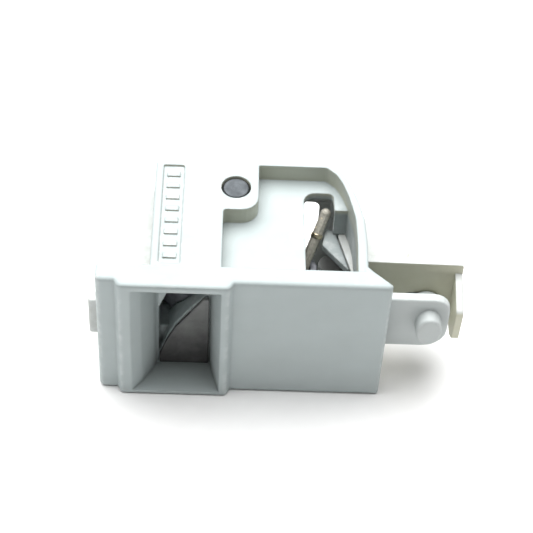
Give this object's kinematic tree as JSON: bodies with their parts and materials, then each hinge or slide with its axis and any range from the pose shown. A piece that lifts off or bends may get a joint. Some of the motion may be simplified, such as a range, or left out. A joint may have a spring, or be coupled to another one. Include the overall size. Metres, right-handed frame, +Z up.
{
  "type": "stair gate latch",
  "caption": "Moulded stair gate latch with a spring-closed steel claw behind a striker mouth and a push slider that opens it.",
  "frame": {"origin": "middle of the housing's base, on the underside of the base cover", "axes": "+X towards the slider's knob, +Y from the mouth towards the back, +Z up out of the recessed top"},
  "size_m": [0.0856, 0.0392, 0.039],
  "materials": {
    "housing_plastic": "fine moulded grain",
    "cover_plastic": "fine moulded grain",
    "arm_plastic": "fine moulded grain",
    "steel": "turned",
    "zinc_steel": "zinc plated",
    "spring_steel": "drawn wire",
    "dark_steel": "dark blued",
    "bronze": "sintered bronze",
    "rubber": "matte"
  },
  "bodies": {
    "housing": {"front_housing": "housing_plastic", "rear_shell": "housing_plastic", "base_cover": "cover_plastic", "cover_screw_1": "zinc_steel", "cover_screw_2": "zinc_steel", "cover_screw_3": "zinc_steel", "cover_screw_4": "zinc_steel", "pivot_pin": "steel", "lower_washer": "zinc_steel", "upper_washer": "zinc_steel", "retaining_clip": "dark_steel", "torsion_spring": "spring_steel", "spring_guide_post": "steel", "striker_bumper": "rubber", "return_spring": "spring_steel"},
    "hook": {"latch_hook": "dark_steel", "hook_bush": "bronze", "hook_nose_pin": "steel", "release_rod": "steel"},
    "slider": {"release_slider": "arm_plastic", "cross_pin": "steel", "pin_cap": "arm_plastic"}
  },
  "joints": [
    {"name": "slider_travel", "type": "slide", "parent": "housing", "child": "slider", "axis": [1, 0, 0], "range_m": [-0.0035, 0], "stiffness_N_per_m": 300, "springref_m": 0.004, "deforming": ["return_spring"]},
    {"name": "hook_pivot", "type": "hinge", "parent": "housing", "child": "hook", "pos_m": [-0.0023, 0.0102, 0.0148], "axis": [0, 0, 1], "range_deg": [-21, 0], "stiffness_Nm_per_rad": 0.02, "springref_deg": 20.05, "deforming": ["torsion_spring"]}
  ],
  "couplings": [
    {"joint": "hook_pivot", "follows": "slider_travel", "rad_per_m": 102.86}
  ]
}
